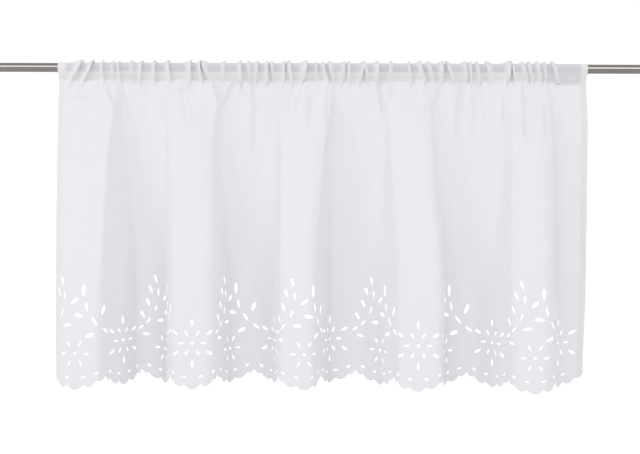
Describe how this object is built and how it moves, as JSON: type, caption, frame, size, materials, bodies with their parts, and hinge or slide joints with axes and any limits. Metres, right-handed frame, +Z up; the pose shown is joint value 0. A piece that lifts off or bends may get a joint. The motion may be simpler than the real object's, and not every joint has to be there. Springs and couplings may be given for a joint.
{
  "type": "gathered cafe curtain on its rod",
  "caption": "Short sheer curtain with a scalloped lower edge, gathered by its pocket on a plain round rod.",
  "frame": {"origin": "on the rod's axis at mid-span", "axes": "+X along the rod, +Z up, the curtain's face looks towards -Y"},
  "size_m": [1, 0.0936, 0.4901],
  "materials": {
    "voile": "sheer plain-weave voile with a cutwork border",
    "rod_metal": "brushed nickel plating on steel tube"
  },
  "bodies": {
    "root": {"curtain": "voile", "rod": "rod_metal"}
  },
  "joints": []
}
